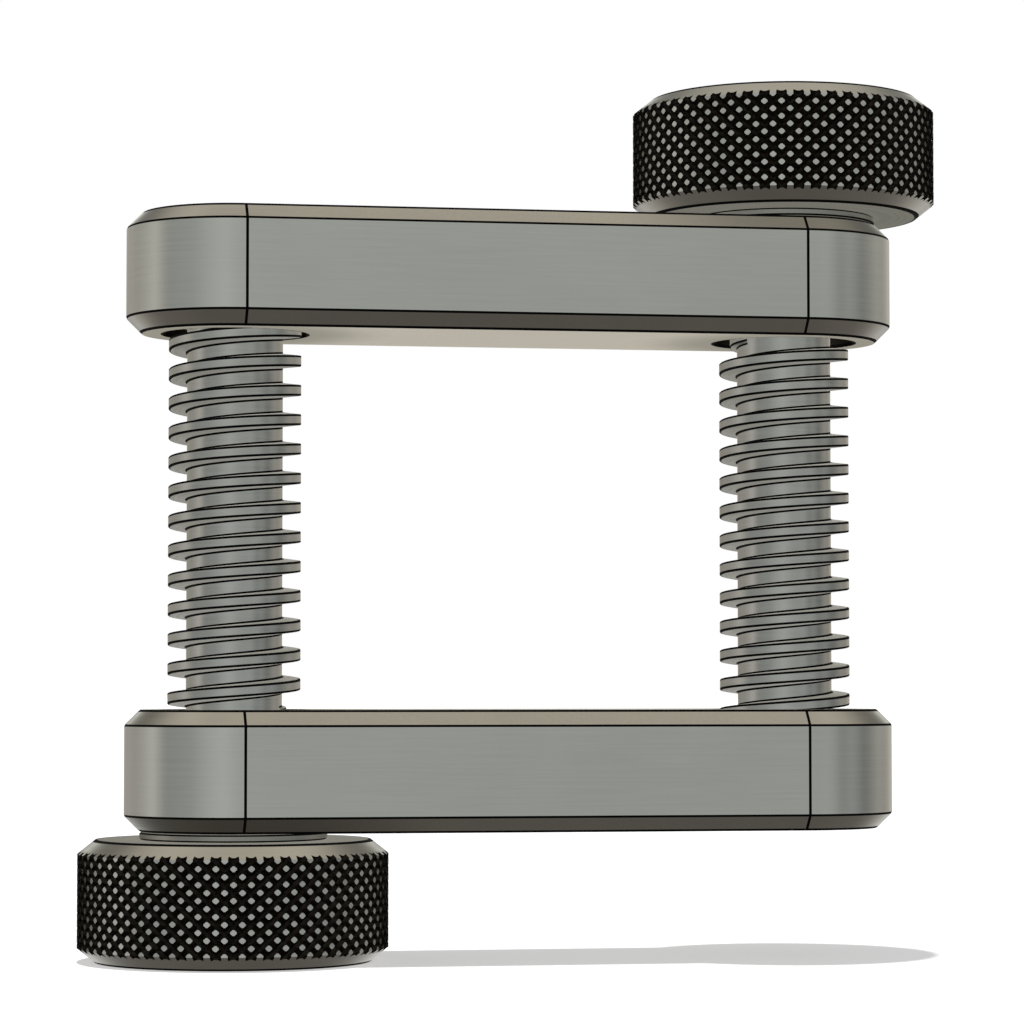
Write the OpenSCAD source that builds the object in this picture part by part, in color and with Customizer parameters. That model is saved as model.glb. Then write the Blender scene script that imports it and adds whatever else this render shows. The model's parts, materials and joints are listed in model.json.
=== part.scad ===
// Two-screw clamp: two round-ended steel jaws that two square-form screws draw together.
// Each screw turns in a plain bearing in one jaw and is threaded through the other jaw, so that it
// both closes and opens them. The two jaws are the same part, one of them turned over, and so are
// the two screws with their knobs.
// Lengths are in millimetres. The origin is the middle of the lower jaw's clamping face, X runs
// along the jaws and Z points from the lower jaw to the upper one.

/* [Jaws] */
// Distance between the axes of the two screws
screw_spacing = 38.4; // [30:0.2:60]
// Width of a jaw, which is also the diameter of its round ends
jaw_w = 14.8; // [13:0.2:20]
// Height of a jaw
jaw_h = 8.2; // [7:0.1:14]
// Chamfer round both faces of a jaw
jaw_chamfer = 1.05; // [0.4:0.05:1.5]
// Gap between the clamping faces as drawn
opening = 25.5; // [2:0.5:40]

/* [Thread] */
// Outside diameter of the thread
thread_d = 9; // [8.4:0.1:10]
// Diameter of a screw's core
core_d = 6.5; // [6.4:0.1:7]
// Pitch of the thread
thread_pitch = 2; // [1.6:0.1:2.4]
// Thickness of the thread's ridge at its crest
ridge_w = 0.75; // [0.6:0.05:0.8]
// Angle between the two flanks of the ridge
flank_angle = 12; // [6:1:16]
// Radial gap between a crest and the root that it runs in
crest_gap = 0.25; // [0.15:0.05:0.4]
// Axial gap between the flanks of a screw and of its jaw
flank_gap = 0.1; // [0.06:0.02:0.14]
// Part of a turn over which a screw's thread runs out at its ends
runout = 0.35; // [0.2:0.05:0.6]
// Angle at which a screw's thread leaves its bearing jaw's face when the clamp is shut
thread_start = -45; // [-180:5:180]

/* [Screws] */
// Diameter of the plain journal that turns in the jaw and carries the knob
journal_d = 6; // [5:0.1:6.4]
// Radial clearance of the journal in its bearing and in the thrust washer
bearing_gap = 0.05; // [0.04:0.01:0.1]
// Thickness of the collar that bears on the jaw from inside
collar_t = 1.2; // [0.8:0.1:2]
// Depth of the recess in the jaw's clamping face that the collar turns in
recess_h = 2.2; // [2.1:0.1:3]
// Axial play of the screw on each side of its bearing
end_play = 0.05; // [0.04:0.01:0.1]
// Depth of a screw's tip below the far jaw's outer face
tip_depth = 0.8; // [0:0.1:2]
// Diameter of the plain tip, below the thread's core
tip_d = 6.2; // [4:0.1:6.2]
// Length of the plain tip
tip_l = 0.9; // [0.6:0.1:1.5]
// Chamfer at the ends of the tip and of the journal
end_chamfer = 0.4; // [0.2:0.1:0.6]
// Chamfer at the mouth of a hole in a jaw
mouth_chamfer = 0.2; // [0.1:0.05:0.4]

/* [Knobs] */
// Diameter over the knurl
knob_d = 21; // [18:0.5:30]
// Height of a knob
knob_h = 8.2; // [7:0.1:12]
// Width of a knob's edge chamfers, measured across the knob
knob_chamfer_w = 1.2; // [0.8:0.1:1.5]
// Height of a knob's edge chamfers, measured along the screw
knob_chamfer_h = 0.95; // [0.6:0.05:1.5]
// Number of knurl grooves of each hand
knurl_count = 57; // [40:1:60]
// Height of one knurl diamond
knurl_h = 1.03; // [0.9:0.01:1.6]
// Depth of the knurl
knurl_depth = 0.3; // [0.15:0.05:0.4]
// Depth of the blind bore that takes the journal
bore_depth = 6.4; // [6:0.1:6.8]
// Gap between the journal's end and the bottom of that bore
bore_end_gap = 0.3; // [0.1:0.1:0.5]
// Radial clearance between knob and journal
knob_fit = 0.02; // [0.01:0.01:0.04]
// Outside diameter of a thrust washer
washer_d = 12.7; // [11:0.1:16]
// Thickness of a thrust washer
washer_t = 0.5; // [0.3:0.1:1.5]

/* [Set screws] */
// Thread diameter of the set screw that locks a knob to its journal
set_screw_d = 4; // [3:0.5:4]
// Depth of a set screw's head below the knurl
set_screw_depth = 1.9; // [0.5:0.1:2.5]
// Width across flats of its hexagon socket
socket_w = 2; // [1.5:0.1:2.2]
// Depth of that socket
socket_depth = 2.4; // [1.5:0.1:3]
// Depth of the flat on the journal that a set screw bears on
journal_flat = 0.4; // [0.2:0.1:0.8]

/* [Hidden] */

$fn = 96;
// Flat steps in one turn of a thread
thread_steps = 20;
// Cutters reach this far past the faces that they cut
past = 1;

screw_x = screw_spacing / 2;
jaw_r = jaw_w / 2;

// Radii of the thread: the screw's core, and the jaw's ridges and roots round it
core_r = core_d / 2;
tapped_r = core_r + crest_gap;
hole_r = thread_d / 2 + crest_gap;
mouth_r = hole_r + mouth_chamfer;

// Heights along a screw, from the clamping face of the jaw that it turns in
collar_bottom = end_play - recess_h;
collar_top = collar_bottom + collar_t;
screw_top = opening + jaw_h - tip_depth;
washer_top = -jaw_h - end_play;
knob_top = washer_top - washer_t;
knob_mid = knob_top - knob_h / 2;
journal_end = knob_top - bore_depth + bore_end_gap;

// Set screw, from the journal's flat outwards
flat_x = journal_d / 2 - journal_flat;
set_screw_l = knob_d / 2 - set_screw_depth - flat_x;

// How far the screws are turned back from the shut clamp
screw_turn = -360 * opening / thread_pitch;

// Half the thickness of the thread's ridge at a radius
function ridge_half(r) = ridge_w / 2 + (thread_d / 2 - r) * tan(flank_angle / 2);

// Point at a radius, an angle and a height
function polar(r, angle, z) = [r * cos(angle), r * sin(angle), z];

// Two triangles that fill a strip's cell, given its corners anticlockwise from outside
function cell(a, b, c, d) = [[a, c, b], [a, d, c]];

// Triangles from one point to each step of a rim, given clockwise from outside
function fan(apex, rim) = [for (i = [0 : len(rim) - 2]) [apex, rim[i], rim[i + 1]]];

// A core with one ridge wound round it, from bottom to top, as one closed skin. The ridge's middle
// crosses height 0 at start_angle, and extra thickens the ridge at each flank. The ridge rises out
// of the core over runout of a turn and sinks into it again at the other end.
module wound_ridge(root_r, crest_r, extra, bottom, top, start_angle) {
    root_half = ridge_half(root_r) + extra;
    crest_half = ridge_half(crest_r) + extra;
    side = [[root_r, -root_half], [crest_r, -crest_half], [crest_r, crest_half], [root_r, root_half]];
    margin = 0.02;
    first_z = bottom + root_half + margin;
    first_angle = start_angle + 360 * first_z / thread_pitch;
    steps = floor((top - margin - root_half - first_z) / thread_pitch * thread_steps);
    rise = runout * thread_steps;
    turn = thread_steps;

    function angle(i) = first_angle + 360 * i / turn;
    function swell(i) = min(1, i / rise, (steps - i) / rise);
    function ridge_point(i, k) =
        polar(
            root_r + (side[k][0] - root_r) * swell(i),
            angle(i),
            first_z + thread_pitch * i / turn + side[k][1]
        );
    // Numbers of the points: bottom ring, top ring, then four for each step of the ridge
    function low(i) = i % turn;
    function high(i) = turn + i % turn;
    function on(i, k) = 2 * turn + 4 * i + k;

    points = [
        for (i = [0 : turn - 1]) polar(root_r, angle(i), bottom),
        for (i = [0 : turn - 1]) polar(root_r, angle(i), top),
        for (i = [0 : steps]) for (k = [0 : 3]) ridge_point(i, k),
    ];
    last = steps - turn;
    faces = [
        [for (i = [0 : turn - 1]) low(i)],
        [for (i = [0 : turn - 1]) high(turn - 1 - i)],
        // core below the first turn, and its seam at the ridge's start
        for (i = [0 : turn - 2]) each cell(low(i), low(i + 1), on(i + 1, 0), on(i, 0)),
        each fan(
            on(turn - 1, 0),
            [on(turn, 0), on(0, 3), on(0, 2), on(0, 1), on(0, 0), low(0), low(turn - 1)]
        ),
        // the ridge itself
        for (i = [0 : steps - 1]) for (k = [0 : 2])
            each cell(on(i, k), on(i + 1, k), on(i + 1, k + 1), on(i, k + 1)),
        // core between one turn and the next
        for (i = [0 : last - 1]) each cell(on(i, 3), on(i + 1, 3), on(i + turn + 1, 0), on(i + turn, 0)),
        // core above the last turn, and its seam at the ridge's end
        for (i = [last + 1 : steps - 1]) each cell(on(i, 3), on(i + 1, 3), high(i + 1), high(i)),
        each fan(
            on(last + 1, 3),
            [
                on(last, 3), on(steps, 0), on(steps, 1), on(steps, 2), on(steps, 3),
                high(steps), high(last + 1),
            ]
        ),
    ];
    polyhedron(points, faces, convexity = 12);
}

// Half of a jaw's cross-section, as points of distance from the jaw's middle line and height
function jaw_half_section() = [
    [jaw_r - jaw_chamfer, -jaw_h],
    [jaw_r, jaw_chamfer - jaw_h],
    [jaw_r, -jaw_chamfer],
    [jaw_r - jaw_chamfer, 0],
];

// Straight middle of a jaw, with a half-turn of the same section at each end
module jaw_bar() {
    half = jaw_half_section();
    other_half = [for (i = [len(half) - 1 : -1 : 0]) [-half[i][0], half[i][1]]];
    rotate([90, 0, 90])
        translate([0, 0, -screw_x])
            linear_extrude(screw_spacing)
                polygon(concat(half, other_half));
    for (side = [0, 180])
        rotate([0, 0, side])
            translate([screw_x, 0, 0])
                rotate([0, 0, -90])
                    rotate_extrude(angle = 180)
                        polygon(concat([[0, -jaw_h]], half, [[0, 0]]));
}

// Bearing for a journal, with the collar's recess and a chamfered mouth
module bearing_cut() {
    journal_r = journal_d / 2 + bearing_gap;
    rotate_extrude()
        polygon([
            [0, -jaw_h - past],
            [journal_r, -jaw_h - past],
            [journal_r, -recess_h],
            [hole_r, -recess_h],
            [hole_r, -mouth_chamfer],
            [mouth_r + past, past],
            [0, past],
        ]);
}

// Tapped hole with a countersunk mouth at both faces, sunk at 45 degrees to the screw's core
module tapped_cut() {
    sink = mouth_r - core_r;
    wound_ridge(
        tapped_r, hole_r, flank_gap,
        -jaw_h - thread_pitch, thread_pitch, 180 - thread_start
    );
    for (end = [0, 1])
        translate([0, 0, -end * jaw_h])
            mirror([0, 0, end])
                translate([0, 0, -sink])
                    cylinder(r1 = core_r, r2 = mouth_r + past, h = sink + past);
}

module jaw() {
    color("#8f938c")
        difference() {
            jaw_bar();
            translate([-screw_x, 0, 0]) bearing_cut();
            translate([screw_x, 0, 0]) tapped_cut();
        }
}

// Screw with its thread upwards: plain tip, thread, collar, and journal with a flat for its set screw
module spindle() {
    thread_top = screw_top - tip_l;
    tip_r = tip_d / 2;
    journal_r = journal_d / 2;
    color("#8a8d87")
        difference() {
            union() {
                wound_ridge(core_r, thread_d / 2, 0, collar_top, thread_top, thread_start);
                rotate_extrude()
                    polygon([
                        [0, thread_top],
                        [tip_r, thread_top],
                        [tip_r, screw_top - end_chamfer],
                        [tip_r - end_chamfer, screw_top],
                        [0, screw_top],
                    ]);
                rotate_extrude()
                    polygon([
                        [0, journal_end],
                        [journal_r - end_chamfer, journal_end],
                        [journal_r, journal_end + end_chamfer],
                        [journal_r, collar_bottom],
                        [thread_d / 2, collar_bottom],
                        [thread_d / 2, collar_top],
                        [0, collar_top],
                    ]);
            }
            translate([flat_x, -journal_r, knob_mid - set_screw_d / 2 - 0.5])
                cube([journal_r, journal_d, set_screw_d + 1]);
        }
}

module thrust_washer() {
    color("#9a9c96")
        translate([0, 0, knob_top])
            difference() {
                cylinder(d = washer_d, h = washer_t);
                translate([0, 0, -past])
                    cylinder(r = journal_d / 2 + bearing_gap, h = washer_t + 2 * past);
            }
}

// Cylinder covered with the diamonds that two crossing sets of grooves leave. Tips and groove
// crossings take turns round each row and from row to row.
module diamond_cylinder() {
    columns = 2 * knurl_count;
    rows = 2 * ceil(knob_h / knurl_h);

    function at(i, row) = row * columns + i % columns;
    points = [
        for (row = [0 : rows]) for (i = [0 : columns - 1])
            polar(
                knob_d / 2 - ((i + row) % 2) * knurl_depth,
                360 * i / columns,
                knob_mid + (row - rows / 2) * knurl_h / 2
            ),
    ];
    faces = [
        [for (i = [0 : columns - 1]) at(i, 0)],
        [for (i = [0 : columns - 1]) at(columns - 1 - i, rows)],
        // each cell is folded along the groove that joins its two low corners
        for (row = [0 : rows - 1]) for (i = [0 : columns - 1])
            each (i + row) % 2 == 1
                ? cell(at(i, row), at(i + 1, row), at(i + 1, row + 1), at(i, row + 1))
                : cell(at(i + 1, row), at(i + 1, row + 1), at(i, row + 1), at(i, row)),
    ];
    polyhedron(points, faces, convexity = 6);
}

// Knob: knurled, chamfered across the knurl, bored blind for the journal and tapped for its set screw
module knob() {
    bottom = knob_top - knob_h;
    face_r = knob_d / 2 - knob_chamfer_w;
    // the chamfers' cones are carried on past the knurl's tips
    beyond_r = knob_d / 2 + knob_chamfer_w;
    beyond_h = 2 * knob_chamfer_h;
    color("#4b4b48")
        difference() {
            intersection() {
                diamond_cylinder();
                rotate_extrude()
                    polygon([
                        [0, bottom],
                        [face_r, bottom],
                        [beyond_r, bottom + beyond_h],
                        [beyond_r, knob_top - beyond_h],
                        [face_r, knob_top],
                        [0, knob_top],
                    ]);
            }
            translate([0, 0, knob_top - bore_depth])
                cylinder(r = journal_d / 2 + knob_fit, h = bore_depth + past);
            translate([0, 0, knob_mid])
                rotate([0, 90, 0])
                    cylinder(r = set_screw_d / 2 + knob_fit, h = knob_d);
        }
}

// Set screw along X, its cup point on the journal's flat and its hexagon socket outwards
module set_screw() {
    r = set_screw_d / 2;
    point = 0.6;
    cup_r = r / 2;
    color("#3a3a3a")
        translate([flat_x, 0, knob_mid])
            rotate([0, 90, 0])
                difference() {
                    rotate_extrude()
                        polygon([
                            [0, point],
                            [cup_r, 0],
                            [r, point],
                            [r, set_screw_l - point / 2],
                            [r - point / 2, set_screw_l],
                            [0, set_screw_l],
                        ]);
                    translate([0, 0, set_screw_l - socket_depth])
                        cylinder(d = socket_w / cos(30), h = socket_depth + past, $fn = 6);
                }
}

// Puts a screw's pieces on the left screw's axis, turned as far as the opening asks
module on_left_screw() {
    translate([-screw_x, 0, 0])
        rotate([0, 0, screw_turn])
            children();
}

// Turns a piece of the lower half over, so that it becomes its twin in the upper half
module turned_over() {
    translate([0, 0, opening])
        rotate([0, 180, 0])
            children();
}

jaw();  // lower_jaw
turned_over() jaw();  // upper_jaw
on_left_screw() spindle();  // left_spindle
on_left_screw() thrust_washer();  // left_thrust_washer
on_left_screw() knob();  // left_knob
on_left_screw() set_screw();  // left_set_screw
turned_over() on_left_screw() spindle();  // right_spindle
turned_over() on_left_screw() thrust_washer();  // right_thrust_washer
turned_over() on_left_screw() knob();  // right_knob
turned_over() on_left_screw() set_screw();  // right_set_screw
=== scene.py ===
import json
from math import cos, pi, radians, sin

import bmesh
import bpy
import numpy as np
from mathutils import Matrix, Vector

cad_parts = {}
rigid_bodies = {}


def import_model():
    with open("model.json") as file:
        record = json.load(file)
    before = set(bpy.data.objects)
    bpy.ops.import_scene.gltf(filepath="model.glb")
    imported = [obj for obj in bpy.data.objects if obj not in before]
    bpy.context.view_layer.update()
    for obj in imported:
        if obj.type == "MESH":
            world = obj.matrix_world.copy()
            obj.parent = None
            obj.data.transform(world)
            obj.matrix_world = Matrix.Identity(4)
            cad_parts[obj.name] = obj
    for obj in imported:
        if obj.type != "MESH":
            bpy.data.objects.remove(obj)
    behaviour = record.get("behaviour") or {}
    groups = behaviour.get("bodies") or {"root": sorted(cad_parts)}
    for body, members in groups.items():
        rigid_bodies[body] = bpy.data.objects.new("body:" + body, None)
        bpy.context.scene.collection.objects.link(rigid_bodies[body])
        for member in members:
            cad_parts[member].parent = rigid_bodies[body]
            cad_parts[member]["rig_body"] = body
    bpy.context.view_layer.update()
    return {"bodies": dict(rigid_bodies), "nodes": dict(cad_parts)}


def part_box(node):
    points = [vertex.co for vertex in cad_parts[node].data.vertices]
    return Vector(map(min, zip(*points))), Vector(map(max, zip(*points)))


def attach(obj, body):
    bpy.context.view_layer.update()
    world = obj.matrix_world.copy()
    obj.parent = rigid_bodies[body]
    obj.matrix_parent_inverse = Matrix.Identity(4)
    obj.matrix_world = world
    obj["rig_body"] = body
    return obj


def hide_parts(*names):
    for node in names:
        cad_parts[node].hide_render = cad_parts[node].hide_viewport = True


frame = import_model()
print("frame loaded:", sorted(frame["nodes"]))

# Lengths are in millimetres until a mesh is made, and the pieces' sizes are the CAD source's own.
# The painted contact shade, camera and studio are in metres.
clamp = {
    "screwX": 19.2,       # half the distance between the screws
    "opening": 25.5,      # gap between the clamping faces at rest
    "jawHeight": 8.2,
    "pitch": 2.0,         # of both screws and of the jaws' threads
    "restTurn": 90.0,     # angle that the screws stand at in the photograph
}


# colours, nodes and materials


def linearColor(hexText):
    # sRGB hex to linear: v / 12.92 near black, ((v + 0.055) / 1.055) ^ 2.4 above
    srgb = np.array([int(hexText[i : i + 2], 16) for i in (1, 3, 5)]) / 255
    linear = np.where(srgb <= 0.04045, srgb / 12.92, ((srgb + 0.055) / 1.055) ** 2.4)
    return (*linear.tolist(), 1.0)


def addNode(tree, kind, inputs=(), **settings):
    # one node with its settings, where each input gets a link or a value
    node = tree.nodes.new("ShaderNode" + kind)
    for setting, value in settings.items():
        setattr(node, setting, value)
    for socket, value in dict(inputs).items():
        if isinstance(value, bpy.types.NodeSocket):
            tree.links.new(value, node.inputs[socket])
        else:
            node.inputs[socket].default_value = value
    return node


def newTree(owner):
    # the empty node tree of a material or of the world
    owner.use_nodes = True
    owner.node_tree.nodes.clear()
    return owner.node_tree


def addRadius(tree, aside, y):
    # distance from a screw's axis: length of (aside - half the distance between the screws, y)
    outward = addNode(
        tree, "Math", {0: aside, 1: clamp["screwX"] / 1000}, operation="SUBTRACT"
    ).outputs[0]
    flat = addNode(tree, "CombineXYZ", {"X": outward, "Y": y}).outputs[0]
    return addNode(tree, "VectorMath", {0: flat}, operation="LENGTH").outputs["Value"]


def addPaintedShade(tree, paintedShade):
    # Share of the painted shade near the knobs and screws. On a jaw's outer side it fades with
    # the distance from the knob's axis, where x has the sign of the height above the middle, and
    # on the inner side with the distance from either screw.
    split = addNode(tree, "SeparateXYZ", {0: addNode(tree, "TexCoord").outputs["Object"]})
    x, y, z = (split.outputs[axis] for axis in "XYZ")
    height = addNode(
        tree, "Math", {0: z, 1: clamp["opening"] / 2000}, operation="SUBTRACT"
    ).outputs[0]
    half = addNode(tree, "Math", {0: height}, operation="SIGN").outputs[0]
    knobSide = addNode(tree, "Math", {0: x, 1: half}, operation="MULTIPLY").outputs[0]
    aside = addNode(tree, "Math", {0: x}, operation="ABSOLUTE").outputs[0]
    away = addNode(tree, "Math", {0: height}, operation="ABSOLUTE").outputs[0]
    outer, inner, outside = (
        addNode(
            tree, "MapRange", {0: value, 1: start, 2: end}, interpolation_type="SMOOTHSTEP"
        ).outputs[0]
        for value, (start, end) in (
            (addRadius(tree, knobSide, y), paintedShade["outerFade"]),
            (addRadius(tree, aside, y), paintedShade["innerFade"]),
            (away, paintedShade["outerSide"]),
        )
    )
    inner = addNode(
        tree, "Math", {0: inner, 1: paintedShade["innerShare"]}, operation="MULTIPLY"
    ).outputs[0]
    return addNode(tree, "Mix", {0: outside, 2: inner, 3: outer}, data_type="FLOAT").outputs[0]


# how fine lines and mottle are drawn with noise
grain = {
    "along": 0.02,              # squeeze along the lines: they get 50 times as long as wide
    "drift": 0.05,              # how fast the rings on a turned face change along the jaw
    "lineDetail": 2.0,
    "mottleDetail": 3.0,
    "lineRange": (0.3, 0.7),    # noise of the lines that gives the lowest and highest roughness
    "shadeRange": (0.6, 1.4),   # sum of lines and mottle that gives the dark and light colour
}


def lineCoordinates(tree, layout, spacing):
    # Object coordinates squeezed so that noise draws fine lines: along X on a ground face,
    # or round the nearer screw's axis on a turned one, where one coordinate is the radius
    perMetre = 1000 / spacing
    place = addNode(tree, "TexCoord").outputs["Object"]
    if layout != "round":
        along = grain["along"]
        squeeze = {"sides": (along, along, 1.0), "faces": (along, 1.0, along)}[layout]
        scale = [s * perMetre for s in squeeze]
        return addNode(tree, "Mapping", {"Vector": place, "Scale": scale}).outputs[0]
    split = addNode(tree, "SeparateXYZ", {0: place})
    aside = addNode(tree, "Math", {0: split.outputs["X"]}, operation="ABSOLUTE").outputs[0]
    radius = addRadius(tree, aside, split.outputs["Y"])
    drift = addNode(
        tree, "Math", {0: split.outputs["X"], 1: grain["drift"]}, operation="MULTIPLY"
    ).outputs[0]
    lines = addNode(
        tree, "CombineXYZ", {"X": radius, "Y": split.outputs["Z"], "Z": drift}
    ).outputs[0]
    return addNode(tree, "Mapping", {"Vector": lines, "Scale": [perMetre] * 3}).outputs[0]


def makeSteel(name, look):
    # Lines left by the wheel or the tool shift the colour, the roughness and the height a little,
    # and a slow mottle keeps a face from looking painted
    material = bpy.data.materials.new(name)
    tree = newTree(material)
    lines = addNode(
        tree,
        "TexNoise",
        {"Vector": lineCoordinates(tree, look["layout"], look["spacing"]),
         "Scale": 1.0, "Detail": grain["lineDetail"]},
    ).outputs["Fac"]
    place = addNode(tree, "TexCoord").outputs["Object"]
    mottle = addNode(
        tree, "TexNoise",
        {"Vector": place, "Scale": 1000 / look["mottle"], "Detail": grain["mottleDetail"]},
    ).outputs["Fac"]
    blend = addNode(tree, "Math", {0: lines, 1: mottle}, operation="ADD").outputs[0]
    low, high = grain["shadeRange"]
    lightness = addNode(tree, "MapRange", {0: blend, 1: low, 2: high}).outputs[0]
    color = addNode(
        tree,
        "Mix",
        {"Factor": lightness, 6: linearColor(look["dark"]), 7: linearColor(look["light"])},
        data_type="RGBA",
    ).outputs[2]
    (low, high), (smooth, dull) = grain["lineRange"], look["roughness"]
    rough = addNode(tree, "MapRange", {0: lines, 1: low, 2: high, 3: smooth, 4: dull}).outputs[0]
    if "paintedShade" in look:  # painted shade: darkens the steel near the knobs and screws, and raises its roughness there
        paintedShade = addPaintedShade(tree, look["paintedShade"])
        color = addNode(
            tree, "Mix", {"Factor": paintedShade, 6: color, 7: linearColor(look["paintedShade"]["color"])},
            data_type="RGBA", blend_type="MULTIPLY",
        ).outputs[2]
        rough = addNode(
            tree, "Math", {0: paintedShade, 1: look["paintedShade"]["dulling"], 2: rough},
            operation="MULTIPLY_ADD",
        ).outputs[0]
    bump = addNode(
        tree,
        "Bump",
        {"Height": lines, "Strength": look["strength"], "Distance": look["depth"] / 1000},
    ).outputs[0]
    shader = addNode(
        tree,
        "BsdfPrincipled",
        {"Base Color": color, "Metallic": look.get("metallic", 1.0),
         "Roughness": rough, "Normal": bump},
    )
    if "specular" in look:
        shader.inputs["Specular IOR Level"].default_value = look["specular"]
    if "edgeTint" in look:  # dulls the mirror of a metal that is seen at a low angle
        shader.inputs["Specular Tint"].default_value = look["edgeTint"]
    addNode(tree, "OutputMaterial", {"Surface": shader.outputs[0]})
    return material


# painted shade near the knobs and the screws, where shade falls between the parts; it also raises
# the roughness
paintedContactShade = {
    "outerFade": (0.016, 0.006),    # distances from the axis where it ends and is full, outside
    "innerFade": (0.0115, 0.005),   # and on the inner sides
    "outerSide": (0.015, 0.017),    # heights from the clamp's middle where inner turns to outer
    "innerShare": 0.6,
    "color": "#b5b4b1",
    "dulling": 0.3,
}
# milled or turned chamfers: warmer than the ground faces
chamferSteel = {
    "layout": "round", "spacing": 0.16, "mottle": 6.0, "dark": "#88837b", "light": "#908b80",
    "roughness": (0.17, 0.23), "strength": 0.15, "depth": 0.004,
    "edgeTint": (0.78, 0.81, 0.80, 1.0),
}
# faced steel: concentric tool marks, dull and dark at a low angle
facedSteel = {
    "layout": "round", "spacing": 0.18, "mottle": 5.0, "dark": "#868780", "light": "#92938c",
    "roughness": (0.26, 0.36), "strength": 0.3, "depth": 0.005,
    "edgeTint": (0.45, 0.45, 0.41, 1.0),
}
# In each steel, spacing is that of the tool marks, mottle the size of its patches and depth that
# of the marks, all in millimetres. Real marks are 0.02 to 0.05 mm apart, too fine to show, so
# they are drawn 0.1 to 0.2 mm apart.
steels = {
    # surface-ground tool steel: even satin grey with faint lines along the jaw
    "groundSides": {
        "layout": "sides", "spacing": 0.14, "mottle": 9.0, "dark": "#8d908a", "light": "#949791",
        "roughness": (0.17, 0.22), "strength": 0.12, "depth": 0.004,
        "edgeTint": (0.8, 0.8, 0.76, 1.0),
    },
    # the same on the flat faces: warmer at a low angle, with painted shade and more roughness
    # near the knobs and screws
    "groundFaces": {
        "layout": "faces", "spacing": 0.14, "mottle": 9.0, "dark": "#92938b", "light": "#9a9b92",
        "roughness": (0.18, 0.24), "strength": 0.12, "depth": 0.004,
        "edgeTint": (1.0, 0.97, 0.86, 1.0), "paintedShade": paintedContactShade,
    },
    # the jaws' milled chamfers: a lighter painted shade near the knobs, and none on the inner
    # sides
    "milledChamfers": {
        **chamferSteel,
        "paintedShade": {**paintedContactShade, "innerShare": 0.0, "color": "#bcbbb8", "dulling": 0.08},
    },
    # the knobs' turned chamfers: the same, without the painted shade
    "turnedChamfers": chamferSteel,
    # turned screw steel: the same grey with fine rings round the screw
    "turnedScrew": {
        "layout": "round", "spacing": 0.16, "mottle": 4.0, "dark": "#838580", "light": "#8d908b",
        "roughness": (0.18, 0.25), "strength": 0.25, "depth": 0.004,
        "edgeTint": (0.75, 0.74, 0.68, 1.0),
    },
    # the thread's flanks: cut, never rubbed, so duller and darker than its crest
    "cutFlanks": {
        "layout": "round", "spacing": 0.16, "mottle": 2.0, "dark": "#777873", "light": "#83847f",
        "roughness": (0.24, 0.32), "strength": 0.25, "depth": 0.004,
        "edgeTint": (0.68, 0.68, 0.64, 1.0),
    },
    # the knobs' end faces
    "facedSteel": facedSteel,
    # thrust washers: faced steel painted darker, as painted shade where they sit between jaw and
    # knob
    "paintedShadeWashers": {**facedSteel, "dark": "#6f706a", "light": "#797a74"},
    # knurl crests, rubbed bright where a hand turns them
    "rubbedCrests": {
        "layout": "round", "spacing": 0.20, "mottle": 1.5, "dark": "#868883", "light": "#989a95",
        "roughness": (0.20, 0.28), "strength": 0.2, "depth": 0.003,
        "edgeTint": (0.0, 0.0, 0.0, 1.0),
    },
    # knurl grooves: black oxide with brown oil and fine steel dust left in it
    "knurlGrooves": {
        "layout": "round", "spacing": 0.10, "mottle": 0.3, "dark": "#040404", "light": "#26231f",
        "roughness": (0.45, 0.60), "strength": 0.3, "depth": 0.004,
        "edgeTint": (0.1, 0.1, 0.09, 1.0),
    },
    # bores: dark and dull, as painted shade inside the holes
    "paintedShadeBores": {
        "layout": "round", "spacing": 0.16, "mottle": 3.0, "dark": "#1c1b19", "light": "#2a2926",
        "roughness": (0.45, 0.60), "strength": 0.3, "depth": 0.004,
        "edgeTint": (0.2, 0.2, 0.19, 1.0),
    },
    # black oxide that grinding and handling left on edges and in corners: almost black, no gloss
    "blackOxide": {
        "layout": "round", "spacing": 0.12, "mottle": 1.0, "dark": "#030303", "light": "#080808",
        "roughness": (0.65, 0.80), "strength": 0.3, "depth": 0.004, "metallic": 0.0,
        "specular": 0.02,
    },
}
materials = {name: makeSteel(name, look) for name, look in steels.items()}
print("materials made:", len(materials))


# meshes from grids of points


def gridPatch(points, finish):
    # rows of points joined to quads; finish is the material slot of each quad, row by row
    rows, columns = points.shape[:2]
    index = np.arange(rows * columns).reshape(rows, columns)
    quads = np.stack([index[:-1, :-1], index[:-1, 1:], index[1:, 1:], index[1:, :-1]], -1)
    finish = np.broadcast_to(finish, (rows - 1, columns - 1))
    return points.reshape(-1, 3), quads.reshape(-1, 4), finish.ravel()


def revolved(profile, finish, angles):
    # point = (r cos a, r sin a, z) for each (r, z) of the profile and each angle
    r, z = np.array(profile, float).T[:, :, None]
    a = np.radians(angles)[None, :]
    points = np.stack([r * np.cos(a), r * np.sin(a), z + 0 * a], -1)
    return gridPatch(points, np.array(finish)[:, None])


def placed(patch, turn=0.0, shift=(0.0, 0.0, 0.0)):
    # turns a patch about Z and then shifts it
    points, quads, finish = patch
    c, s = cos(radians(turn)), sin(radians(turn))
    return points @ np.array([[c, s, 0], [-s, c, 0], [0, 0, 1]]) + shift, quads, finish


mergeDistance = 5e-7  # metres


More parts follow.
